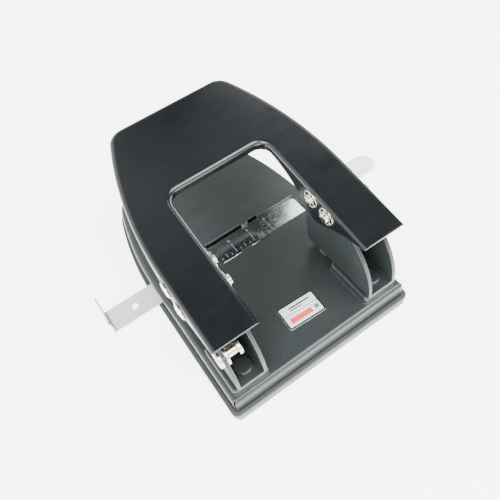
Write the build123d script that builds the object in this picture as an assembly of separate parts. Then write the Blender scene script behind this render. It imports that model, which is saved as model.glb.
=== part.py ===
from build123d import *
import os
from math import asin, atan2, cos, degrees, hypot, radians, sin, sqrt, tan

# Two-hole paper punch. Millimetres. Z up, X across the punch to the user's right, paper enters
# from -Y. The origin is on the desk, midway between the two punch axes.

# ---- Driving dimensions ----
hole_spacing = 80.0  # between the two punched holes
punch_radius = 3.0
paper_gap = 5.0  # height of the slot that the paper goes into
throat = 11.0  # punch axis to the paper stop
punch_bite = 1.8  # how far a pressed punch goes below the plate's top

plate_top = 18.3  # height of the base's top face
plate_half_width = 53.7
plate_rear = 42.6
plate_front = -119.0
flank_start = -42.0  # where the straight sides begin to curve inwards
flank_radius = 222.0
front_corner_radius = 18.0
rear_corner_radius = 1.2
plate_sheet = 1.5
plate_bend = 2.6  # outer bend radius round the top edge

tray_floor_bottom = 0.4
tray_floor = 1.8
tray_foot_wall = 1.5  # wall at the tray's bottom
tray_rim_wall = 2.3  # wall at its rim, because the outer face leans out
tray_lip = 1.6  # upright part of the outer face, below the rim
tray_height = 8.5
tray_clearance = 0.3
pad_thickness = 1.0
pad_inset = 8.0

bracket_width = 17.0
bracket_sheet = 1.8
bracket_front = -10.0
bracket_rear = 40.4
pivot_y = 11.5  # handle pivot
pivot_z = 65.0
drive_height = 67.7  # drive pin above the desk, on the punch axis
pivot_pin_radius = 2.5
drive_pin_radius = 2.0

handle_slope = 10.8  # degrees, rising towards the front
handle_rear_y = 38.4
handle_rear_z = 66.8
handle_length = 125.7
handle_half_width = 52.2
handle_sheet = 1.6
handle_bend = 2.4
handle_straight = 43.0  # straight part of each side, from the rear
handle_flank_radius = 192.0
handle_corner_radius = 10.0
opening_half_width = 28.4
opening_length = 76.9
opening_corner_radius = 6.5
handle_turn = 36.0  # degrees from rest to fully pressed

strip_width = 15.0
strip_rear = -30.8
strip_thickness = 1.0
strip_tip = -103.5
strip_end = 84.2
tab_length = 22.2
tab_height = 8.4

lock_y = 31.5
lock_z = 46.0
lock_shaft_radius = 2.6
lock_travel = 4.0

# ---- Clearances ----
running = 0.05  # radial, shafts that turn or slide
punch_running = 0.04
slide_gap = 0.15  # washers beside moving sheet
strip_gap = 0.2
strip_headroom = 0.1  # between the strip and the sheet above it

# ---- Values that follow ----
axis_x = hole_spacing / 2
gap_top = plate_top + paper_gap
floor_top = gap_top + bracket_sheet
cheek_in = axis_x - bracket_width / 2  # outer face of the cheek nearer the middle
cheek_out = axis_x + bracket_width / 2
channel_half_width = bracket_width / 2 - bracket_sheet  # inside a bracket
arm_in = opening_half_width
arm_out = handle_half_width
strip_front = strip_rear - strip_width
strip_middle = (strip_front + strip_rear) / 2
channel_floor = plate_top - plate_sheet - strip_thickness - strip_headroom
tray_top_of_floor = tray_floor_bottom + tray_floor
drive_rise = drive_height - pivot_z
# The drive pin stays on the punch axis, so its height above the pivot is pivot_y * tan(angle).
start_angle = atan2(drive_rise, pivot_y)
end_rise = pivot_y * tan(start_angle - radians(handle_turn))
punch_travel = drive_rise - end_rise
punch_tip = plate_top - punch_bite + punch_travel


def block(x, y, z):
    """Box between a low and a high value on each axis."""
    size = (x[1] - x[0], y[1] - y[0], z[1] - z[0])
    return Pos(x[0], y[0], z[0]) * Box(*size, align=(Align.MIN, Align.MIN, Align.MIN))


def rod_x(radius, x_low, x_high, y, z):
    return extrude(Plane.YZ.offset(x_low) * Pos(y, z) * Circle(radius), amount=x_high - x_low)


def rod_z(radius, x, y, z_low, z_high):
    return extrude(Pos(x, y, z_low) * Circle(radius), amount=z_high - z_low)


def side_solid(face, x_low, x_high):
    """Solid between two x planes. The face is drawn in (y, z)."""
    return extrude(Plane.YZ.offset(x_low) * face, amount=x_high - x_low)


def on_side(solid, side):
    """Built on the right, and mirrored for the left."""
    return solid if side > 0 else mirror(solid, about=Plane.YZ)


def top_edges(solid):
    return solid.faces().sort_by(Axis.Z)[-1].edges()


# ---- Base ----
def base_outline(grow):
    """Plan of the base, grown outwards by grow: straight sides, curved flanks, straight front."""
    half = plate_half_width + grow
    rear = plate_rear + grow
    front = plate_front - grow
    radius = flank_radius + grow
    centre_x = half - radius
    turn = asin((flank_start - front) / radius)
    corner = (centre_x + radius * cos(turn), front)
    middle = (centre_x + radius * cos(turn / 2), flank_start - radius * sin(turn / 2))
    side = Line((half, rear), (half, flank_start))
    side += ThreePointArc((half, flank_start), middle, corner)
    ends = Line(corner, (-corner[0], front)) + Line((half, rear), (-half, rear))
    face = make_face(side + mirror(side, about=Plane.YZ) + ends)
    front_points = face.vertices().sort_by(Axis.Y)[:2]
    face = fillet(front_points, front_corner_radius + grow)
    rear_points = face.vertices().sort_by(Axis.Y)[-2:]
    return fillet(rear_points, max(rear_corner_radius + grow, 0.2))


def base_block(grow, z_low, z_high, edge_radius):
    solid = extrude(Pos(0, 0, z_low) * base_outline(grow), amount=z_high - z_low)
    return fillet(top_edges(solid), edge_radius) if edge_radius else solid


die_radius = punch_radius + 3.5
die_rim = 2.0  # die's shoulder, beyond its radius
die_rim_height = 1.6
die_height = 5.0
die_land = 2.6  # height of the cutting bore, above the wider relief
channel_half = plate_half_width - 6.7  # beyond this the strip runs under the plate's edges
channel_corner = 2.0
slot_width = 1.8  # pierced slots beside the strip
rear_slots = ((-19.5, -6.2), (0.8, 13.2))
front_slots = ((-20.5, -13.7), (-9.2, 16.0))
spring_window = (-14.0, 26.0)
spring_margin = 3.2  # from each edge of the strip to the leaf spring's window
slit_height = 9.0
slit_width = 0.9
bracket_rivet_y = (18.0, 31.5)
rivet_shank = 2.6
spring_rivet_x = (-19.5, 31.5)
spring_rivet_radius = 1.6
pad_x = (cheek_in - 1.6, cheek_out + 2.4)
pad_rear = plate_rear - plate_bend - 0.2


def make_base_plate():
    plate = base_block(0, tray_top_of_floor, plate_top, plate_bend)
    # Pressed channel for the paper guide. It ends inside the plate's edges, and the strip runs on
    # under them.
    channel_y = (strip_front - strip_gap, strip_rear + strip_gap)
    wall_y = (channel_y[0] - plate_sheet, channel_y[1] + plate_sheet)
    under_top = plate_top - plate_sheet
    hollow = base_block(-plate_sheet, tray_top_of_floor - 1, under_top, plate_bend - plate_sheet)
    wide = (-plate_half_width - 5, plate_half_width + 5)
    hollow -= block(wide, wall_y, (channel_floor - plate_sheet, plate_top))
    plate -= hollow
    channel = block((-channel_half, channel_half), channel_y, (channel_floor, plate_top + 1))
    plate -= fillet(channel.edges().filter_by(Axis.Z), channel_corner)
    plate -= block(wide, channel_y, (channel_floor, plate_top - plate_sheet))
    through = (channel_floor - 2 * plate_sheet, plate_top + 1)
    for x in rear_slots:
        plate -= block(x, (strip_rear - 1, strip_rear + slot_width), through)
    for x in front_slots:
        plate -= block(x, (strip_front - slot_width, strip_front + 1), through)
    plate -= block(spring_window, (strip_front + spring_margin, strip_rear - spring_margin), through)
    for side in (1, -1):
        # Raised seat of the bracket. Its front wall is the paper stop.
        seat = block(pad_x, (throat, pad_rear), (plate_top - plate_sheet, gap_top))
        seat = fillet(seat.edges().filter_by(Axis.Z), 2.0)
        seat = fillet(top_edges(seat), 1.4)
        inner_x = (pad_x[0] + plate_sheet, pad_x[1] - plate_sheet)
        inner_y = (throat + plate_sheet, pad_rear - plate_sheet)
        under_seat = block(inner_x, inner_y, (plate_top - 2 * plate_sheet, gap_top - plate_sheet))
        plate += on_side(seat, side)
        plate -= on_side(under_seat, side)
        plate -= rod_z(die_radius, side * axis_x, 0, plate_top - die_height, plate_top + 1)
        for y in bracket_rivet_y:
            plate -= rod_z(rivet_shank, side * axis_x, y, plate_top, gap_top + 1)
        # Open corner between the two folded rear walls.
        slit = Rot(0, 0, 45) * Box(6.0, slit_width, slit_height)
        corner = (side * (plate_half_width - 0.4), plate_rear - 0.4, plate_top - 0.5 - slit_height / 2)
        plate -= Pos(*corner) * (slit if side > 0 else Rot(0, 0, 90) * slit)
    for x in spring_rivet_x:
        plate -= rod_z(spring_rivet_radius, x, strip_middle, channel_floor - 5, plate_top)
    return plate


def make_chip_tray():
    """Tray with an outer face that leans out to an upright lip, and an upright inner face."""
    foot = tray_clearance + tray_foot_wall
    rim = tray_clearance + tray_rim_wall
    lip_low = tray_height - tray_lip
    sections = [Pos(0, 0, tray_floor_bottom) * base_outline(foot), Pos(0, 0, lip_low) * base_outline(rim)]
    tray = loft(sections, ruled=True) + base_block(rim, lip_low, tray_height, 0.7)
    tray -= base_block(tray_clearance, tray_top_of_floor, tray_height + 1, 0)
    return tray - base_block(-pad_inset, 0, pad_thickness, 0)


def make_anti_slip_pad():
    return base_block(-pad_inset, 0, pad_thickness, 0)


def make_die(side):
    low = plate_top - die_height
    rim_top = plate_top - plate_sheet
    die = rod_z(die_radius, axis_x, 0, low, plate_top)
    die += rod_z(die_radius + die_rim, axis_x, 0, rim_top - die_rim_height, rim_top)
    die -= rod_z(punch_radius + punch_running, axis_x, 0, low - 1, plate_top + 1)
    die -= rod_z(punch_radius + 0.7, axis_x, 0, low - 1, plate_top - die_land)
    return on_side(die, side)


spring_sheet = 0.6
spring_crown = 12.0  # length of the part that touches the strip


def make_guide_spring():
    """Leaf spring riveted under the channel. It arches up through its window and presses on the strip."""
    low = channel_floor - plate_sheet - spring_sheet
    high = channel_floor - spring_sheet - running
    middle = sum(spring_window) / 2
    ends = (spring_rivet_x[0] - 4, spring_rivet_x[1] + 4)
    bends = (spring_window[0] + 2, spring_window[1] - 2)
    crown = (middle - spring_crown / 2, middle + spring_crown / 2)
    top = [(ends[0], low), (bends[0], low), (crown[0], high)]
    top += [(crown[1], high), (bends[1], low), (ends[1], low)]
    outline = top + [(x, z + spring_sheet) for x, z in reversed(top)]
    half = strip_width / 2 - spring_margin - strip_gap
    face = Plane.XZ.offset(-strip_middle - half) * make_face(Polyline(*outline, close=True))
    spring = extrude(face, amount=2 * half)
    for x in spring_rivet_x:
        spring -= rod_z(spring_rivet_radius, x, strip_middle, low - 2, low + 2)
    return spring


def make_spring_rivets():
    """Flush heads, because the strip slides over them."""
    tail = channel_floor - plate_sheet - spring_sheet
    rivets = []
    for x in spring_rivet_x:
        rivet = rod_z(spring_rivet_radius, x, strip_middle, tail - 1, channel_floor)
        rivets.append(rivet + rod_z(spring_rivet_radius + 1.2, x, strip_middle, tail - 1, tail))
    return Compound(rivets)


label_size = (22.4, 14.2)
label_thickness = 0.4


def make_label_plate():
    face = RectangleRounded(*label_size, 1.6)
    return extrude(Pos(-2.4, 21.6, plate_top) * Rot(0, 0, -2.5) * face, amount=label_thickness)


# ---- Brackets ----
cheek_lobe = 4.8  # round the pivot
cheek_front_top = 57.0
bridge_half_length = 5.5
bridge_low = 50.8
bridge_sheet = 1.6
bridge_leg = 1.2
bush_flange_radius = channel_half_width - 0.5
guide_radius = punch_radius + 2.0
bush_barrel = 3.9


def cheek_face():
    """Side view of a cheek: upright front, a lobe round the pivot, and a rear edge that rounds over."""
    rear_top = (29.0, 55.5)
    behind_pivot = (pivot_y + cheek_lobe * cos(radians(48)), pivot_z + cheek_lobe * sin(radians(48)))
    lines = Line((bracket_front, gap_top), (bracket_rear, gap_top))
    lines += Line((bracket_rear, gap_top), (bracket_rear, floor_top + 1))
    lines += ThreePointArc((bracket_rear, floor_top + 1), (37.4, 43.0), rear_top)
    rest = [rear_top, behind_pivot, (pivot_y, pivot_z), (pivot_y - cheek_lobe, pivot_z)]
    rest += [(pivot_y - cheek_lobe, 59.5), (2.0, 56.4), (bracket_front, cheek_front_top)]
    lines += Polyline(*rest, (bracket_front, gap_top))
    return make_face(lines) + Pos(pivot_y, pivot_z) * Circle(cheek_lobe)


def make_bracket(side):
    shape = side_solid(cheek_face(), cheek_in, cheek_out)
    long_edges = shape.edges().filter_by(Axis.Y).group_by(Axis.Z)[0]
    shape = fillet(long_edges.filter_by(Axis.Y), bracket_sheet + 0.4)
    inner_x = (cheek_in + bracket_sheet, cheek_out - bracket_sheet)
    channel = block(inner_x, (bracket_front - 1, bracket_rear + 1), (floor_top, pivot_z + 10))
    shape -= fillet(channel.edges().filter_by(Axis.Y).group_by(Axis.Z)[0], 0.5)
    shape -= rod_x(pivot_pin_radius + running, cheek_in - 1, cheek_out + 1, pivot_y, pivot_z)
    shape -= rod_z(guide_radius, axis_x, 0, gap_top - 1, floor_top + 1)
    for y in bracket_rivet_y:
        shape -= rod_z(rivet_shank, axis_x, y, gap_top - 1, floor_top + 1)
    if side > 0:
        shape -= rod_x(bush_barrel, cheek_out - bracket_sheet - 1, cheek_out + 1, lock_y, lock_z)
    return on_side(shape, side)


def make_bracket_rivets():
    rivets = []
    tail = gap_top - plate_sheet
    for side in (1, -1):
        for y in bracket_rivet_y:
            head = rod_z(5.2, side * axis_x, y, floor_top, floor_top + 1.5)
            head = fillet(top_edges(head), 1.1)
            shank = rod_z(rivet_shank, side * axis_x, y, tail - 1.2, floor_top)
            foot = rod_z(rivet_shank + 1.6, side * axis_x, y, tail - 1.2, tail)
            rivets.append(head + shank + foot)
    return Compound(rivets)


spring_seat = floor_top + 5.9


def make_guide_bush(side):
    bush = rod_z(guide_radius, axis_x, 0, gap_top, spring_seat)
    bush += rod_z(bush_flange_radius, axis_x, 0, floor_top, floor_top + 1.8)
    bush -= rod_z(punch_radius + punch_running, axis_x, 0, gap_top - 1, spring_seat + 1)
    return on_side(bush, side)


def make_guide_bridge(side):
    """Upper punch guide, welded between the cheeks."""
    inner_x = (cheek_in + bracket_sheet, cheek_out - bracket_sheet)
    y = (-bridge_half_length, bridge_half_length)
    high = bridge_low + bridge_sheet
    bridge = block(inner_x, y, (bridge_low, high))
    bridge += block((inner_x[0], inner_x[0] + bridge_leg), y, (bridge_low - 5, high))
    bridge += block((inner_x[1] - bridge_leg, inner_x[1]), y, (bridge_low - 5, high))
    bridge -= rod_z(punch_radius + punch_running, axis_x, 0, bridge_low - 1, high + 1)
    return on_side(bridge, side)


# ---- Punches ----
punch_head_radius = drive_pin_radius + 2.2  # the eye round the drive pin
clip_groove = punch_radius - 0.4
clip_mouth = 0.8 * clip_groove
clip_top = bridge_low - 0.2
collar_thickness = 1.2
spring_wire = 0.6
spring_coil = punch_radius + 1.2
collar_radius = channel_half_width - bridge_leg - 0.5  # clear of the bridge's legs
spring_turns = 8


def make_punch(side):
    head_low = bridge_low + bridge_sheet + punch_travel + 0.5
    punch = rod_z(punch_radius, axis_x, 0, punch_tip, head_low)
    punch += rod_z(punch_head_radius, axis_x, 0, head_low, drive_height)
    punch += Pos(axis_x, 0, drive_height) * Sphere(punch_head_radius)
    # Hollow-ground tip: two points cut first.
    punch -= rod_x(2 * punch_radius, axis_x - 6, axis_x + 6, 0, punch_tip - 2 * punch_radius + 1.0)
    punch -= rod_x(drive_pin_radius, axis_x - 6, axis_x + 6, 0, drive_height)
    groove = rod_z(punch_radius + 1, axis_x, 0, clip_top - collar_thickness, clip_top)
    punch -= groove - rod_z(clip_groove, axis_x, 0, clip_top - collar_thickness, clip_top)
    return on_side(punch, side)


def make_spring_collar(side):
    """Open retaining ring on the punch. The spring holds it up against the bridge."""
    low = clip_top - collar_thickness
    ring = rod_z(collar_radius, axis_x, 0, low, clip_top) - rod_z(clip_groove, axis_x, 0, low, clip_top)
    mouth = block((axis_x - clip_mouth, axis_x + clip_mouth), (0, collar_radius + 1), (low, clip_top))
    return on_side(ring - mouth, side)


def make_punch_spring(side):
    low = spring_seat + spring_wire + 0.05
    height = clip_top - collar_thickness - spring_wire - 0.05 - low
    path = Pos(axis_x, 0, low) * Helix(pitch=height / spring_turns, height=height, radius=spring_coil)
    start = Plane(origin=path @ 0, z_dir=path % 0)
    return on_side(sweep(start * Circle(spring_wire), path=path, is_frenet=True), side)


def make_drive_pin(side):
    pin = rod_x(drive_pin_radius, arm_in - 2.6, arm_out + slide_gap, 0, drive_height)
    head = rod_x(4.2, arm_out + slide_gap, arm_out + slide_gap + 1.5, 0, drive_height)
    head = fillet(head.faces().sort_by(Axis.X)[-1].edges(), 0.9)
    return on_side(pin + head, side)


# ---- Handle ----
def handle_top(y):
    """Height of the handle's top face at y."""
    return handle_rear_z + (handle_rear_y - y) * tan(radians(handle_slope))


def placed(solid):
    """From the handle's own frame, top face at z = 0 and rear end at y = 0, to the punch's."""
    return Pos(0, handle_rear_y, handle_rear_z) * Rot(-handle_slope, 0, 0) * solid


def handle_plan(inset, rear):
    """Plan of the handle drawn in by inset: two arms from y = rear, joined across the front."""
    half = handle_half_width - inset
    front = -handle_length + inset
    radius = handle_flank_radius - inset
    centre_x = half - radius
    turn = asin((-handle_straight - front) / radius)
    corner = (centre_x + radius * cos(turn), front)
    middle = (centre_x + radius * cos(turn / 2), -handle_straight - radius * sin(turn / 2))
    side = Line((half, rear), (half, -handle_straight))
    side += ThreePointArc((half, -handle_straight), middle, corner)
    ends = Line(corner, (-corner[0], front)) + Line((half, rear), (-half, rear))
    face = make_face(side + mirror(side, about=Plane.YZ) + ends)
    face = fillet(face.vertices().sort_by(Axis.Y)[:2], handle_corner_radius - inset)
    width = 2 * (opening_half_width + inset)
    depth = opening_length + inset
    opening = Pos(0, -depth / 2 + 5) * Rectangle(width, depth + 10)
    opening = fillet(opening.vertices().sort_by(Axis.Y)[:2], opening_corner_radius + inset)
    return face - opening


# Lower edge of the flanges, as (distance from the rear end, depth below the top face).
flange_edge = [(0, 1.2), (9, 5.0), (21, 12.0), (28, 17.4), (33.5, 20.0), (38.5, 18.0), (45, 13.6)]
flange_edge += [(53, 9.0), (64, 5.8), (80, 5.4), (102, 7.2), (handle_length + 1, 9.0)]


def drive_slot():
    """Slot in the flanges, along the line from the pivot to the drive pin."""
    radial = [hypot(pivot_y, rise) for rise in (drive_rise, end_rise, 0.0)]
    short, long = min(radial) - 0.3, max(radial) + 0.3
    width = 2 * (drive_pin_radius + 0.25)
    slot = Pos(-(short + long) / 2, 0) * SlotCenterToCenter(long - short, width)
    return Pos(pivot_y, pivot_z) * Rot(0, 0, -degrees(start_angle)) * slot


def make_handle():
    deepest = 26.0
    outer = extrude(Pos(0, 0, -deepest) * handle_plan(0, 0), amount=deepest)
    bends = [edge for edge in top_edges(outer) if abs(edge.center().Y) > 0.01]
    outer = fillet(bends, handle_bend)
    inner_depth = deepest + 1 - handle_sheet
    inner = extrude(Pos(0, 0, -deepest - 1) * handle_plan(handle_sheet, 2.0), amount=inner_depth)
    bends = [edge for edge in top_edges(inner) if edge.center().Y < 1.9]
    inner = fillet(bends, handle_bend - handle_sheet)
    lower = [(-distance, -depth) for distance, depth in flange_edge]
    keep = make_face(Spline(*lower) + Polyline(lower[-1], (lower[-1][0], 1), (0, 1), lower[0]))
    shell = (outer - inner) & side_solid(keep, -handle_half_width - 1, handle_half_width + 1)
    handle = placed(shell)
    handle -= rod_x(pivot_pin_radius, -arm_out - 1, arm_out + 1, pivot_y, pivot_z)
    return handle - side_solid(drive_slot(), -arm_out - 1, arm_out + 1)


def make_pivot_pin(side):
    pin = rod_x(pivot_pin_radius, arm_in - 2.6, arm_out, pivot_y, pivot_z)
    head = rod_x(4.6, arm_out, arm_out + 1.7, pivot_y, pivot_z)
    head = fillet(head.faces().sort_by(Axis.X)[-1].edges(), 1.0)
    return on_side(pin + head, side)


retainer_radius = 5.0
retainer_thickness = 0.6


def make_retainer(side, shaft, gap, y, z):
    """Star washer on the pin's end, against the flange's inner face: rim, hub and five spokes."""
    high = arm_in - gap
    low = high - retainer_thickness
    washer = rod_x(retainer_radius, low, high, y, z) - rod_x(shaft, low, high, y, z)
    rim = retainer_radius - 0.8
    hub = shaft + 0.7
    ring = rod_x(rim, low, high, y, z) - rod_x(hub, low, high, y, z)
    for spoke in range(5):
        bar = Pos(y, z) * Rot(0, 0, 72 * spoke + 18) * Pos(rim / 2, 0) * Rectangle(rim, 1.1)
        ring -= side_solid(bar, low, high)
    return on_side(washer - ring, side)


def make_pivot_retainers():
    sides = [make_retainer(side, pivot_pin_radius, 0, pivot_y, pivot_z) for side in (1, -1)]
    return Compound(sides)


# ---- Lock ----
lock_flange_radius = 4.2
catch_x = (42.0, 43.8)
catch_wall = 2.6


def make_lock_pin():
    """Pulled out to the right, its inner flange moves into the catch's round pocket."""
    head = rod_x(5.0, cheek_out + 0.1, cheek_out + 2.2, lock_y, lock_z)
    head = fillet(head.faces().sort_by(Axis.X)[-1].edges(), 1.2)
    flange_low = catch_x[0] - 0.1 - lock_travel
    flange = rod_x(lock_flange_radius, flange_low, flange_low + 2.0, lock_y, lock_z)
    flange = fillet(flange.faces().sort_by(Axis.X)[0].edges(), 0.6)
    return head + rod_x(lock_shaft_radius, flange_low + 1, cheek_out + 1, lock_y, lock_z) + flange


def make_lock_bush():
    inner_face = cheek_out - bracket_sheet
    bush = rod_x(bush_barrel, inner_face, cheek_out, lock_y, lock_z)
    bush += rod_x(bush_barrel + 1.4, inner_face - 1.3, inner_face, lock_y, lock_z)
    return bush - rod_x(lock_shaft_radius + running, inner_face - 2, cheek_out + 1, lock_y, lock_z)


def make_lock_catch():
    """Plate welded under the right arm, with a round pocket and a narrower way into it."""
    reach = hypot(lock_y - pivot_y, lock_z - pivot_z)
    rest_angle = atan2(lock_z - pivot_z, lock_y - pivot_y)
    pocket_angle = rest_angle - radians(handle_turn)
    pocket = (pivot_y + reach * cos(pocket_angle), pivot_z + reach * sin(pocket_angle))
    pocket_radius = lock_flange_radius + 0.35
    end_radius = pocket_radius + catch_wall

    def underside(y):
        return handle_top(y) - handle_sheet / cos(radians(handle_slope))

    top_front, top_rear = 18.0, 31.0
    outline = [(top_front, underside(top_front)), (top_rear, underside(top_rear))]
    outline += [(pocket[0] + end_radius, pocket[1]), (pocket[0] - end_radius, pocket[1])]
    face = make_face(Polyline(*outline, close=True)) + Pos(*pocket) * Circle(end_radius)
    half_way = lock_shaft_radius + 0.4
    way = Circle(reach + half_way) - Circle(reach - half_way)
    sweep_angle = degrees(pocket_angle)
    wedge = [(0, 0)]
    for step in (0, 15, 30, 45):
        angle = radians(sweep_angle + step)
        wedge.append((2 * reach * cos(angle), 2 * reach * sin(angle)))
    way = way & make_face(Polyline(*wedge, close=True))
    face -= Pos(pivot_y, pivot_z) * way
    face -= Pos(*pocket) * Circle(pocket_radius)
    catch = side_solid(face, *catch_x)
    foot_side = [(top_front, underside(top_front)), (top_rear, underside(top_rear))]
    foot_side += [(top_rear, underside(top_rear) - 1.8), (top_front, underside(top_front) - 1.8)]
    return catch + side_solid(make_face(Polyline(*foot_side, close=True)), 35.0, catch_x[1])


# ---- Paper guide ----
tab_corner = 1.8
strip_hole = 2.0
strip_hole_inset = 16.5


def make_paper_guide():
    """Sliding scale. Its upright end stops the paper's side edge."""
    low = channel_floor
    high = low + strip_thickness
    strip = block((strip_tip, strip_end), (strip_front, strip_rear), (low, high))
    tip_edges = strip.edges().filter_by(Axis.Z).group_by(Axis.X)[0]
    strip = fillet(tip_edges, strip_width / 2 - 1.0)
    tab_y = (strip_rear - 0.4 - tab_length, strip_rear - 0.4)
    tab = block((strip_end - strip_thickness, strip_end), tab_y, (low, low + tab_height))
    strip += fillet(tab.edges().filter_by(Axis.X).group_by(Axis.Z)[-1], tab_corner)
    return strip - rod_z(strip_hole, strip_end - strip_hole_inset, strip_middle, low - 1, high + 1)


def save(node, shape):
    solids = shape.solids()
    shape = solids[0] if len(solids) == 1 else Compound(list(solids))
    export_step(shape, f"parts/{node}.step")
    print(node, len(solids))


os.makedirs("parts", exist_ok=True)
save("base_plate", make_base_plate())
save("chip_tray", make_chip_tray())
save("anti_slip_pad", make_anti_slip_pad())
save("guide_spring", make_guide_spring())
save("spring_rivets", make_spring_rivets())
save("label_plate", make_label_plate())
save("bracket_rivets", make_bracket_rivets())
save("handle", make_handle())
save("pivot_retainers", make_pivot_retainers())
save("lock_pin", make_lock_pin())
save("lock_bush", make_lock_bush())
save("lock_catch", make_lock_catch())
save("paper_guide", make_paper_guide())
for name, side in (("right", 1), ("left", -1)):
    save(f"bracket_{name}", make_bracket(side))
    save(f"die_{name}", make_die(side))
    save(f"guide_bush_{name}", make_guide_bush(side))
    save(f"guide_bridge_{name}", make_guide_bridge(side))
    save(f"punch_{name}", make_punch(side))
    save(f"spring_collar_{name}", make_spring_collar(side))
    save(f"punch_spring_{name}", make_punch_spring(side))
    save(f"drive_pin_{name}", make_drive_pin(side))
    save(f"drive_retainer_{name}", make_retainer(side, drive_pin_radius, slide_gap, 0, drive_height))
    save(f"pivot_pin_{name}", make_pivot_pin(side))
print("punch travel", round(punch_travel, 3), "tip", round(punch_tip, 3))
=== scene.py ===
from math import cos, pi, radians, sin

import bmesh
import bpy
import numpy as np
from mathutils import Matrix, Quaternion, Vector


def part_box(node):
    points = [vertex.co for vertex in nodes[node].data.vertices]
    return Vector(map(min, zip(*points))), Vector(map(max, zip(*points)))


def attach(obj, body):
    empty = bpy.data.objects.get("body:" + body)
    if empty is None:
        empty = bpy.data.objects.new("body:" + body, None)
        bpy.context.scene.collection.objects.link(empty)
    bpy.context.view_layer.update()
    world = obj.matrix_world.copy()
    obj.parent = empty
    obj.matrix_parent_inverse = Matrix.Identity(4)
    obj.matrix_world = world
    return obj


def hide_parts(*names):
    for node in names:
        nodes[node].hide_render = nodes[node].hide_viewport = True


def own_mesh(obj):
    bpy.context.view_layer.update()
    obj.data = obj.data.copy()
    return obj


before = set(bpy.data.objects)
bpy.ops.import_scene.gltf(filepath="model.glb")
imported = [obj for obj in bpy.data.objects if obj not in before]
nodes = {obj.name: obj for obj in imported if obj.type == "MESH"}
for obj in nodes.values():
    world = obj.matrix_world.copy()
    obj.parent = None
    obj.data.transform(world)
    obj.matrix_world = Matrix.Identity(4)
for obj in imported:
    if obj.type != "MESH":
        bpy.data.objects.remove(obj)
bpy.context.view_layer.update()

mm = 0.001


# materials

def addNode(tree, kind, inputs=None, **settings):
    made = tree.nodes.new("ShaderNode" + kind)
    for key, value in settings.items():
        setattr(made, key, value)
    for key, value in (inputs or {}).items():
        if isinstance(value, bpy.types.NodeSocket):
            tree.links.new(value, made.inputs[key])
        else:
            made.inputs[key].default_value = value
    return made


def newMaterial(name):
    material = bpy.data.materials.new(name)
    material.use_nodes = True
    tree = material.node_tree
    return material, tree, tree.nodes["Principled BSDF"]


def objectPoint(tree, stretch=(1, 1, 1)):
    place = addNode(tree, "TexCoord")
    return addNode(tree, "Mapping", {"Vector": place.outputs["Object"], "Scale": stretch}).outputs["Vector"]


def noise(tree, point, scale, detail=3.0, rough=0.55):
    made = addNode(tree, "TexNoise", {"Vector": point, "Scale": scale, "Detail": detail, "Roughness": rough})
    return made.outputs["Fac"]


def toRange(tree, value, low, high, newLow, newHigh):
    parts = {"Value": value, "From Min": low, "From Max": high, "To Min": newLow, "To Max": newHigh}
    return addNode(tree, "MapRange", parts).outputs["Result"]


def mixColour(tree, amount, first, second):
    return addNode(tree, "Mix", {0: amount, 6: first, 7: second}, data_type="RGBA").outputs[2]


def combine(tree, kind, first, second):
    return addNode(tree, "Math", {0: first, 1: second}, operation=kind).outputs[0]


def edgeAmount(tree, radius, full):
    # how far the rounded normal leans away from the true one: 0 on flats, 1 on sharp edges
    soft = addNode(tree, "Bevel", {"Radius": radius}, samples=6)
    true = addNode(tree, "NewGeometry")
    parts = {0: soft.outputs["Normal"], 1: true.outputs["Normal"]}
    lean = addNode(tree, "VectorMath", parts, operation="DOT_PRODUCT").outputs["Value"]
    return toRange(tree, lean, 1.0, full, 0.0, 1.0)


def rgba(colour):
    return (colour[0], colour[1], colour[2], 1.0)


def shade(colour, factor):
    return rgba([part * factor for part in colour])


def roundedNormal(tree, radius):
    return addNode(tree, "Bevel", {"Radius": radius}, samples=6).outputs["Normal"]


# colour of the lighter edges: partly worn thin paint, partly a painted highlight along the edges
edgeWearAndHighlightColour = (0.3, 0.32, 0.33)


def enamel(name, colour, roughness, metallic=0.0, specular=0.5, flake=0.0, edgeWearAndHighlight=0.35):
    # sprayed paint on pressed steel: slight cloudiness, orange peel, and lighter edges that are partly worn
    # thin paint and partly a painted highlight
    material, tree, shader = newMaterial(name)
    point = objectPoint(tree)
    cloud = noise(tree, point, 28, 4)
    base = mixColour(tree, toRange(tree, cloud, 0.3, 0.7, 0, 1), shade(colour, 0.86), shade(colour, 1.14))
    if flake:
        grain = addNode(tree, "TexVoronoi", {"Vector": point, "Scale": 2600.0})
        spark = toRange(tree, grain.outputs["Color"], 0.55, 1.0, 0.0, flake)
        base = mixColour(tree, spark, base, shade(colour, 2.6))
    # lighter edges: part worn thin paint, part painted highlight where the bends would catch the light
    edge = edgeAmount(tree, 0.0007, 0.8)
    scuff = toRange(tree, noise(tree, point, 240, 5, 0.7), 0.38, 0.62, 0.25, 1.0)
    wornAndHighlitEdge = combine(tree, "MULTIPLY", combine(tree, "MULTIPLY", edge, scuff), edgeWearAndHighlight)
    tree.links.new(mixColour(tree, wornAndHighlitEdge, base, rgba(edgeWearAndHighlightColour)), shader.inputs["Base Color"])
    smear = noise(tree, objectPoint(tree, (1, 2.4, 1.6)), 60, 5, 0.6)
    finish = toRange(tree, smear, 0.3, 0.7, roughness - 0.03, roughness + 0.04)
    tree.links.new(finish, shader.inputs["Roughness"])
    shader.inputs["Metallic"].default_value = metallic
    shader.inputs["Specular IOR Level"].default_value = specular
    fine = combine(tree, "MULTIPLY", noise(tree, point, 2600, 2), 0.4)
    peel = combine(tree, "ADD", noise(tree, point, 700, 2), fine)
    parts = {"Height": peel, "Strength": 0.05, "Distance": 0.0001, "Normal": roundedNormal(tree, 0.0005)}
    bump = addNode(tree, "Bump", parts)
    tree.links.new(bump.outputs["Normal"], shader.inputs["Normal"])
    return material


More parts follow.
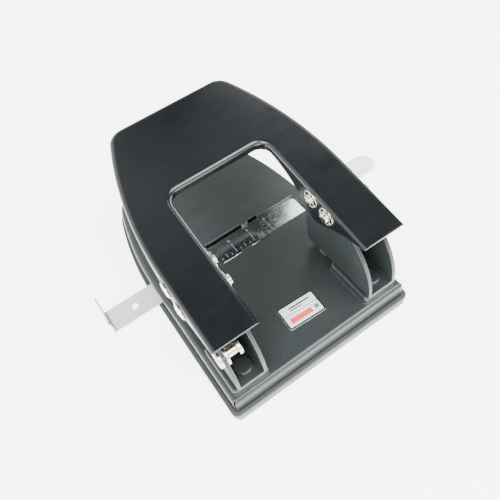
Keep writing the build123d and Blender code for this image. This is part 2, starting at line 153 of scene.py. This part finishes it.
def plated(name, colour, roughness, streak=(1, 1, 1), streakScale=300.0, dull=0.12, creaseShade=0.75, relief=0.08):
    # bright plating: fine drawn streaks, cloudy dull patches, painted shade in the creases, painted highlight
    # on the edges
    material, tree, shader = newMaterial(name)
    point = objectPoint(tree)
    lines = noise(tree, objectPoint(tree, streak), streakScale, 4, 0.6)
    cloud = noise(tree, point, 55, 4, 0.6)
    tint = mixColour(tree, toRange(tree, cloud, 0.32, 0.68, 0, 1), shade(colour, 0.9), rgba(colour))
    # painted highlight: the edges are tinted toward near white
    edge = edgeAmount(tree, 0.0004, 0.85)
    tint = mixColour(tree, combine(tree, "MULTIPLY", edge, 0.3), tint, rgba((0.95, 0.94, 0.9)))
    # painted shade: ambient occlusion darkens the plating in creases and where parts meet
    creaseShadeMask = addNode(tree, "AmbientOcclusion", {"Distance": 0.0025}, samples=6).outputs["AO"]
    tint = mixColour(tree, toRange(tree, creaseShadeMask, 0.2, 0.9, creaseShade, 0.0), tint, shade(colour, 0.18))
    tree.links.new(tint, shader.inputs["Base Color"])
    shader.inputs["Metallic"].default_value = 1.0
    finish = combine(tree, "ADD", toRange(tree, lines, 0.3, 0.7, roughness - 0.05, roughness + 0.05),
                     toRange(tree, cloud, 0.45, 0.75, 0.0, dull))
    tree.links.new(finish, shader.inputs["Roughness"])
    parts = {"Height": lines, "Strength": relief, "Distance": 0.00005, "Normal": roundedNormal(tree, 0.0003)}
    bump = addNode(tree, "Bump", parts)
    tree.links.new(bump.outputs["Normal"], shader.inputs["Normal"])
    return material


def moulded(name, colour, roughness, grain=1500.0, bumpStrength=0.25):
    material, tree, shader = newMaterial(name)
    point = objectPoint(tree)
    cloud = noise(tree, point, 35, 4)
    tint = mixColour(tree, toRange(tree, cloud, 0.3, 0.7, 0, 1), shade(colour, 0.85), shade(colour, 1.15))
    tree.links.new(tint, shader.inputs["Base Color"])
    spread = toRange(tree, noise(tree, point, 90, 4), 0.3, 0.7, roughness - 0.06, roughness + 0.06)
    tree.links.new(spread, shader.inputs["Roughness"])
    parts = {"Height": noise(tree, point, grain, 3), "Strength": bumpStrength, "Distance": 0.00012}
    bump = addNode(tree, "Bump", parts)
    tree.links.new(bump.outputs["Normal"], shader.inputs["Normal"])
    return material


handlePaint = enamel("handlePaint", (0.0042, 0.0058, 0.0066), 0.21, specular=0.65, edgeWearAndHighlight=0.3)
basePaint = enamel("basePaint", (0.027, 0.0325, 0.033), 0.3, metallic=0.2, flake=0.3, edgeWearAndHighlight=0.4)
rivetPaint = enamel("rivetPaint", (0.022, 0.027, 0.028), 0.38, metallic=0.2, flake=0.3, edgeWearAndHighlight=0.5)
trayGrey = moulded("trayGrey", (0.048, 0.052, 0.052), 0.5)
padRubber = moulded("padRubber", (0.02, 0.02, 0.02), 0.8, 900.0, 0.5)
zincPlate = plated("zincPlate", (0.74, 0.78, 0.79), 0.1, (1, 14, 1), 260.0, dull=0.05, relief=0.01)
warmNickel = plated("warmNickel", (0.78, 0.71, 0.56), 0.24)
groundSteel = plated("groundSteel", (0.5, 0.5, 0.5), 0.3, (1, 1, 8))
brightNickel = plated("brightNickel", (0.86, 0.8, 0.66), 0.2, dull=0.06, creaseShade=0.0)
springWire = plated("springWire", (0.45, 0.45, 0.44), 0.34)
labelFoil = moulded("labelFoil", (0.78, 0.8, 0.8), 0.38, 600.0, 0.05)
markInk = moulded("markInk", (0.2, 0.23, 0.25), 0.5, 2000.0, 0.1)
labelBlack = moulded("labelBlack", (0.012, 0.012, 0.013), 0.4, 900.0, 0.08)
labelRed = moulded("labelRed", (0.75, 0.09, 0.06), 0.42, 900.0, 0.08)
labelGrey = moulded("labelGrey", (0.16, 0.17, 0.17), 0.42, 900.0, 0.08)

finishes = {
    "handle": handlePaint, "lock_catch": handlePaint,
    "base_plate": basePaint, "bracket_rivets": rivetPaint,
    "chip_tray": trayGrey, "anti_slip_pad": padRubber,
    "guide_spring": springWire, "spring_rivets": springWire, "label_plate": labelFoil,
    "pivot_retainers": warmNickel, "lock_pin": warmNickel, "lock_bush": warmNickel,
    "paper_guide": zincPlate,
}
for side in ("right", "left"):
    finishes.update({
        "bracket_" + side: basePaint, "guide_bridge_" + side: basePaint,
        "die_" + side: groundSteel, "guide_bush_" + side: groundSteel, "punch_" + side: groundSteel,
        "spring_collar_" + side: springWire, "punch_spring_" + side: springWire,
        "drive_pin_" + side: warmNickel, "drive_retainer_" + side: warmNickel,
        "pivot_pin_" + side: warmNickel,
    })
for name, material in finishes.items():
    slots = nodes[name].data.materials
    slots.clear()
    slots.append(material)
print("finishes on", len(finishes), "nodes")


# new pieces

def addPiece(name, verts, faces, material, body, stands=(), smooth=True):
    mesh = bpy.data.meshes.new(name)
    mesh.from_pydata(np.asarray(verts).tolist(), [], [list(face) for face in faces])
    mesh.materials.append(material)
    build = bmesh.new()
    build.from_mesh(mesh)
    bmesh.ops.delete(build, geom=[vert for vert in build.verts if not vert.link_faces], context="VERTS")
    bmesh.ops.recalc_face_normals(build, faces=build.faces)
    build.to_mesh(mesh)
    build.free()
    mesh.shade_smooth()
    if not smooth:
        mesh.shade_flat()
    piece = bpy.data.objects.new(name, mesh)
    bpy.context.scene.collection.objects.link(piece)
    if stands:
        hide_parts(*stands)
    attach(piece, body)
    return piece


def addBevel(piece, width, segments=2):
    bevel = piece.modifiers.new("roundEdges", "BEVEL")
    bevel.width, bevel.segments, bevel.limit_method = width, segments, "ANGLE"
    bevel.angle_limit = radians(35)


def gridQuads(rows, columns, wrap):
    # quads between neighbouring rows and columns of a grid, joined round if wrap
    row, column = np.meshgrid(np.arange(rows - 1), np.arange(columns if wrap else columns - 1), indexing="ij")
    first, second = row * columns + column, row * columns + (column + 1) % columns
    return np.stack([first, second, second + columns, first + columns], -1).reshape(-1, 4)


def turned(profile, centre, around=64):
    # surface of revolution about the X line through centre: each profile point is (x, radius)
    profile = np.asarray(profile)
    angle = np.linspace(0, 2 * pi, around, endpoint=False)
    x = np.repeat(profile[:, :1], around, 1)
    y = centre[0] + profile[:, 1:] * np.cos(angle)
    z = centre[1] + profile[:, 1:] * np.sin(angle)
    verts = np.stack([x, y, z], -1).reshape(-1, 3)
    rows = len(profile)
    last = (rows - 1) * around
    ends = [list(range(around)), list(range(last, last + around))]
    return verts, gridQuads(rows, around, True).tolist() + ends


def dome(xFlat, xPeak, radius, steps=10):
    # quarter ellipse from the rim of a head at xFlat to its middle at xPeak
    turn = np.linspace(0, pi / 2 * 0.97, steps)
    return np.stack([xFlat + (xPeak - xFlat) * np.sin(turn), radius * np.cos(turn)], -1)


# pins: a domed inner end, a shank, and outside a thin domed head
pinSet = {"endDome": 0.45 * mm, "headDome": 1.15 * mm, "chamfer": 0.25 * mm}
pinSizes = {
    # shank radius, head radius, head thickness
    "pivot": (2.5 * mm, 4.6 * mm, 1.7 * mm),
    "drive": (2.0 * mm, 4.2 * mm, 1.5 * mm),
}


def makePin(kind, name, side, body):
    node = kind + "_pin_" + name
    shankRadius, headRadius, headThick = pinSizes[kind]
    low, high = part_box(node)
    inner, outer = (low[0], high[0]) if side > 0 else (high[0], low[0])
    centre = ((low[1] + high[1]) / 2, (low[2] + high[2]) / 2)
    headFlat = outer - side * pinSet["headDome"]
    seat = outer - side * headThick
    tip = dome(inner + side * pinSet["endDome"], inner, shankRadius)[::-1]
    shank = np.array([(seat, shankRadius), (seat, headRadius - pinSet["chamfer"]), (headFlat, headRadius)])
    profile = np.concatenate([tip, shank, dome(headFlat, outer, headRadius, 14)[1:]])
    verts, faces = turned(profile, centre)
    addPiece(node + "Turned", verts, faces, brightNickel, body, (node,))


# star washers: a dished ring with a hub and five spokes, gripping the pin's end
washerSet = {
    "radius": 5.0 * mm, "thick": 0.6 * mm, "rim": 0.62 * mm, "hub": 0.75 * mm,
    "spokes": 5, "spokeShare": 0.3, "dish": 0.55 * mm,
}


def makeWasher(name, side, shaft, centre, xFar, xNear, body, stands):
    # xFar is the face against the flange and xNear the face towards the middle
    outer = washerSet["radius"]
    ring = np.array([shaft, shaft + washerSet["hub"], outer - washerSet["rim"], outer])
    radii = np.concatenate([ring[:1], np.linspace(ring[1], ring[2], 5), ring[3:]])
    around = 100
    angle = np.linspace(0, 2 * pi, around, endpoint=False)
    cells = np.arange(around) * washerSet["spokes"] / around % 1.0
    kept = np.ones((len(radii) - 1, around), bool)
    kept[1:-1] = cells < washerSet["spokeShare"]
    # the rim lies on the flange, and the hub stands off by the dish
    rise = washerSet["dish"] * (1 - (radii - shaft) / (outer - shaft)) ** 1.5
    thin = abs(xNear - xFar) * 0.8
    layers = []
    for offset in (thin, 0.0):
        x = np.repeat((xFar - side * (rise + offset))[:, None], around, 1)
        y = centre[0] + radii[:, None] * np.cos(angle + 0.3)
        z = centre[1] + radii[:, None] * np.sin(angle + 0.3)
        layers.append(np.stack([x, y, z], -1).reshape(-1, 3))
    count = len(radii) * around
    quads = gridQuads(len(radii), around, True)
    shown = quads[kept.reshape(-1)]
    padded = np.zeros((len(radii) + 1, around), bool)
    padded[1:-1] = kept
    edge = padded[1:] != padded[:-1]
    row, column = np.nonzero(edge)
    first, second = row * around + column, row * around + (column + 1) % around
    rings = np.stack([first, second, second + count, first + count], -1)
    row, column = np.nonzero(kept != np.roll(kept, 1, axis=1))
    first, second = row * around + column, (row + 1) * around + column
    sides = np.stack([first, second, second + count, first + count], -1)
    faces = np.concatenate([shown, shown + count, rings, sides]).tolist()
    piece = addPiece(name, np.concatenate(layers), faces, brightNickel, body, stands)
    addBevel(piece, 0.1 * mm)


for side, name in ((1, "right"), (-1, "left")):
    makePin("pivot", name, side, "handle")
    makePin("drive", name, side, "punch_" + name)
    low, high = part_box("drive_retainer_" + name)
    centre = ((low[1] + high[1]) / 2, (low[2] + high[2]) / 2)
    far, near = (high[0], low[0]) if side > 0 else (low[0], high[0])
    stands = ("drive_retainer_" + name,)
    shaft = pinSizes["drive"][0]
    makeWasher("driveWasher_" + name, side, shaft, centre, far, near, "punch_" + name, stands)
    low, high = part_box("pivot_pin_" + name)
    centre = ((low[1] + high[1]) / 2, (low[2] + high[2]) / 2)
    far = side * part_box("pivot_retainers")[1][0]
    near = far - side * washerSet["thick"]
    shaft = pinSizes["pivot"][0]
    makeWasher("pivotWasher_" + name, side, shaft, centre, far, near, "handle", ("pivot_retainers",))
print("pins and washers ready")


# return springs: round wire on a helix, built as a fixed mesh; the real spring closes up as the punch goes
# down
springSet = {"wire": 0.6 * mm, "turns": 8, "steps": 480, "around": 12}


def makeSpring(side, name):
    # centre line (r cos a, r sin a, low + rise a / whole), and the wire's circle across it
    low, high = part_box("punch_spring_" + name)
    wire, turns = springSet["wire"], springSet["turns"]
    middle = (low[0] + high[0]) / 2
    radius = (high[1] - low[1]) / 2 - wire
    rise = high[2] - low[2] - 2 * wire
    whole = 2 * pi * turns
    a = np.linspace(0, whole, springSet["steps"])
    line = np.stack([radius * np.cos(a), radius * np.sin(a), low[2] + wire + rise * a / whole], -1)
    out = np.stack([np.cos(a), np.sin(a), np.zeros_like(a)], -1)
    along = np.stack([-radius * np.sin(a), radius * np.cos(a), np.full_like(a, rise / whole)], -1)
    along /= np.linalg.norm(along, axis=1, keepdims=True)
    across = np.cross(along, out)
    b = np.linspace(0, 2 * pi, springSet["around"], endpoint=False)
    ring = out[:, None] * np.cos(b)[None, :, None] + across[:, None] * np.sin(b)[None, :, None]
    verts = (line[:, None] + wire * ring).reshape(-1, 3)
    verts[:, 0] = middle + side * verts[:, 0]
    last = (springSet["steps"] - 1) * springSet["around"]
    ends = [list(range(springSet["around"])), list(range(last, last + springSet["around"]))]
    faces = gridQuads(springSet["steps"], springSet["around"], True).tolist() + ends
    stands = ("punch_spring_" + name,)
    piece = addPiece("returnSpring_" + name, verts, faces, springWire, "base", stands)
    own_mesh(piece)


for side, name in ((1, "right"), (-1, "left")):
    makeSpring(side, name)
print("return springs ready")


# flat bars, each as (x, y, half length, half width), from z low to z high
def flatBars(bars, zLow, zHigh, turn=0.0, origin=(0, 0)):
    bars = np.asarray(bars)
    corner = np.array([(-1, -1), (1, -1), (1, 1), (-1, 1)])
    plan = bars[:, None, :2] + corner[None] * bars[:, None, 2:]
    spin = np.array([[cos(turn), sin(turn)], [-sin(turn), cos(turn)]])
    plan = plan @ spin + np.asarray(origin)
    lower = np.concatenate([plan, np.full(plan.shape[:2] + (1,), zLow)], -1)
    upper = np.concatenate([plan, np.full(plan.shape[:2] + (1,), zHigh)], -1)
    verts = np.concatenate([lower, upper], 1).reshape(-1, 3)
    box = np.array([(3, 2, 1, 0), (4, 5, 6, 7), (0, 1, 5, 4), (1, 2, 6, 5), (2, 3, 7, 6), (3, 0, 4, 7)])
    faces = (np.arange(len(bars))[:, None, None] * 8 + box[None]).reshape(-1, 4)
    return verts, faces.tolist()


# printed scale on the paper guide: long marks with numbers, and three short ones after each
scaleSet = {"first": 40.7, "pitch": 12.7, "longMarks": 11, "thick": 0.03, "half": 0.17, "digitSize": 3.3}
stripLow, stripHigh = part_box("paper_guide")
stripRear = stripHigh[1] / mm
stripTop = (stripLow[2] / mm) + 1.0


def makeScale():
    bars = []
    for step in range(scaleSet["longMarks"]):
        x = scaleSet["first"] - step * scaleSet["pitch"]
        bars.append((x, stripRear - 5.6, scaleSet["half"], 3.6))
        for part, length in ((1, 0.8), (2, 1.5), (3, 0.8)):
            shortX = x - part * scaleSet["pitch"] / 4
            bars.append((shortX, stripRear - 1.9 - length, scaleSet["half"], length))
    verts, faces = flatBars(bars, stripTop - 0.02, stripTop + scaleSet["thick"])
    addPiece("scaleMarks", verts * mm, faces, markInk, "paper_guide", smooth=False)


def makeDigits():
    texts = []
    for step in range(scaleSet["longMarks"]):
        curve = bpy.data.curves.new("digit", "FONT")
        curve.body = str(step + 1)
        curve.size = scaleSet["digitSize"] * mm
        curve.extrude = scaleSet["thick"] * mm
        curve.align_x, curve.align_y = "CENTER", "CENTER"
        text = bpy.data.objects.new("digit", curve)
        bpy.context.scene.collection.objects.link(text)
        bpy.context.view_layer.update()
        solid = text.evaluated_get(bpy.context.evaluated_depsgraph_get())
        mesh = bpy.data.meshes.new_from_object(solid)
        x = scaleSet["first"] - step * scaleSet["pitch"]
        mesh.transform(Matrix.Translation(Vector((x, stripRear - 11.5, stripTop)) * mm))
        bpy.data.objects.remove(text)
        texts.append(mesh)
    build = bmesh.new()
    for mesh in texts:
        build.from_mesh(mesh)
        bpy.data.meshes.remove(mesh)
    joined = bpy.data.meshes.new("scaleDigits")
    build.to_mesh(joined)
    build.free()
    joined.materials.clear()
    joined.materials.append(markInk)
    print("digits have", len(joined.vertices), "points")
    piece = bpy.data.objects.new("scaleDigits", joined)
    bpy.context.scene.collection.objects.link(piece)
    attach(piece, "paper_guide")


makeScale()
makeDigits()


# generic print on the label: border, divider, two dark lines, one red bar and a grey square
labelSet = {"half": (11.2, 7.1), "turn": -2.5, "rise": 0.03, "border": 0.95, "corner": 1.6}


def makeLabelPrint():
    # the border is a ring between two rounded rectangles, and the rest are flat bars
    low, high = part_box("label_plate")
    centre = ((low[0] + high[0]) / 2 / mm, (low[1] + high[1]) / 2 / mm)
    around = 64
    angle = (np.arange(around) + 0.5) / around * 2 * pi
    direction = np.stack([np.cos(angle), np.sin(angle)], -1)
    rings = []
    for inset in (0.02, labelSet["border"]):
        radius = labelSet["corner"] - inset
        straight = np.array(labelSet["half"]) - labelSet["corner"]
        rings.append(np.sign(direction) * straight + direction * radius)
    spin = radians(labelSet["turn"])
    matrix = np.array([[cos(spin), sin(spin)], [-sin(spin), cos(spin)]])
    top = high[2] / mm
    layers = []
    for ring, z in ((rings[0], top - 0.02), (rings[0], top + labelSet["rise"]),
                    (rings[1], top + labelSet["rise"]), (rings[1], top - 0.02)):
        layers.append(np.concatenate([ring @ matrix + centre, np.full((around, 1), z)], -1))
    faces = gridQuads(5, around, True)
    faces = np.where(faces >= 4 * around, faces - 4 * around, faces)
    verts = np.concatenate(layers[:4]) * mm
    addPiece("labelBorder", verts, faces.tolist(), labelBlack, "base", smooth=False)
    marks = {
        "labelLines": (labelBlack, [(-1.0, -4.0, 6.4, 0.42), (1.8, -2.5, 3.6, 0.3), (0, -0.6, 10.6, 0.12)]),
        "labelBar": (labelRed, [(1.6, 3.0, 6.6, 1.5)]),
        "labelSquare": (labelGrey, [(-7.9, 2.6, 1.2, 1.2)]),
    }
    for name, (material, bars) in marks.items():
        verts, faces = flatBars(bars, top - 0.02, top + labelSet["rise"], spin, centre)
        addPiece(name, verts * mm, faces, material, "base", smooth=False)


makeLabelPrint()
print("scale and label ready")


# stage, lights and camera

stageSize = {"floorHalf": 3.0, "floorGlow": 4.0}


def makeFloor():
    half = stageSize["floorHalf"]
    corners = [(-half, -half, 0), (half, -half, 0), (half, half, 0), (-half, half, 0)]
    mesh = bpy.data.meshes.new("floor")
    mesh.from_pydata(corners, [], [(0, 1, 2, 3)])
    floor = bpy.data.objects.new("floor", mesh)
    bpy.context.scene.collection.objects.link(floor)
    material, _, shader = newMaterial("floorWhite")
    shader.inputs["Base Color"].default_value = (0.96, 0.96, 0.96, 1)
    shader.inputs["Roughness"].default_value = 0.9
    # a lit table: it keeps the floor pale under a weak key light
    shader.inputs["Emission Color"].default_value = (1, 1, 1, 1)
    shader.inputs["Emission Strength"].default_value = stageSize["floorGlow"]
    mesh.materials.append(material)


def addSoftbox(name, place, target, size, power, colour=(1, 1, 1)):
    light = bpy.data.lights.new(name, "AREA")
    light.shape = "RECTANGLE"
    light.size, light.size_y = size
    light.energy = power
    light.color = colour
    lamp = bpy.data.objects.new(name, light)
    lamp.location = place
    lamp.rotation_euler = (Vector(target) - Vector(place)).to_track_quat("-Z", "Y").to_euler()
    bpy.context.scene.collection.objects.link(lamp)


cameraSet = {
    "place": (66.1, 134.5, 255.5), "target": (-3.1, -25.0, 20.0), "roll": -13.2,
    "lens": 37.04, "sensor": 36.0, "shift": (-0.0044, 0.0028),
}


def makeCamera():
    data = bpy.data.cameras.new("camera")
    data.lens, data.sensor_width = cameraSet["lens"], cameraSet["sensor"]
    data.shift_x, data.shift_y = cameraSet["shift"]
    data.clip_start = 0.01
    camera = bpy.data.objects.new("camera", data)
    place = Vector(cameraSet["place"]) * mm
    aim = (Vector(cameraSet["target"]) * mm - place).to_track_quat("-Z", "Y")
    turn = Quaternion((0, 0, 1), radians(cameraSet["roll"]))
    camera.location = place
    camera.rotation_euler = (aim @ turn).to_euler()
    bpy.context.scene.collection.objects.link(camera)
    bpy.context.scene.camera = camera


skySet = {
    "horizon": 2.6, "upper": 1.8, "turnLow": 0.5, "turnHigh": 0.8, "zenith": 0.03,
    "leftShade": 0.12, "card": (-0.21, -0.575, 0.79), "cardInner": 7.5, "cardOuter": 11.0, "cardLevel": 0.04,
}


def makeSky():
    # bright studio walls that fade to a dim ceiling, dimmer on the left, with one dark card in front
    world = bpy.data.worlds.new("studio")
    world.use_nodes = True
    tree = world.node_tree
    way = addNode(tree, "TexCoord").outputs["Generated"]
    split = addNode(tree, "SeparateXYZ", {"Vector": way})
    height, across = split.outputs["Z"], split.outputs["X"]
    low, high = skySet["turnLow"], skySet["turnHigh"]
    level = toRange(tree, height, low, high, skySet["horizon"], skySet["upper"])
    level = combine(tree, "MULTIPLY", level, toRange(tree, height, high, 0.985, 1.0, skySet["zenith"]))
    side = toRange(tree, across, -0.45, -0.1, skySet["leftShade"], 1.0)
    level = combine(tree, "MULTIPLY", level, side)
    card = Vector(skySet["card"]).normalized()
    lean = addNode(tree, "VectorMath", {0: way, 1: card}, operation="DOT_PRODUCT").outputs["Value"]
    outer, inner = cos(radians(skySet["cardOuter"])), cos(radians(skySet["cardInner"]))
    level = combine(tree, "MULTIPLY", level, toRange(tree, lean, outer, inner, 1.0, skySet["cardLevel"]))
    background = tree.nodes["Background"]
    background.inputs["Color"].default_value = (1, 1, 1, 1)
    tree.links.new(level, background.inputs["Strength"])
    bpy.context.scene.world = world


makeFloor()
makeCamera()
makeSky()
centre = Vector((0, -0.03, 0.04))
softboxes = {
    # name: turn from the front towards the left side, height above the floor (degrees), distance, size, power
    "keySoftbox": (150, 52, 1.45, (0.9, 0.9), 38),
    "sideSoftbox": (-130, 42, 1.3, (0.7, 0.7), 22),
    "leftSoftbox": (55, 43, 1.1, (0.56, 0.34), 2.6),
    "rightSoftbox": (-18, 52, 1.1, (0.5, 0.3), 0.4),
}
for name, (turn, height, distance, size, power) in softboxes.items():
    flat = cos(radians(height))
    way = Vector((-sin(radians(turn)) * flat, -cos(radians(turn)) * flat, sin(radians(height))))
    addSoftbox(name, centre + way * distance, centre, size, power)
print("stage ready")
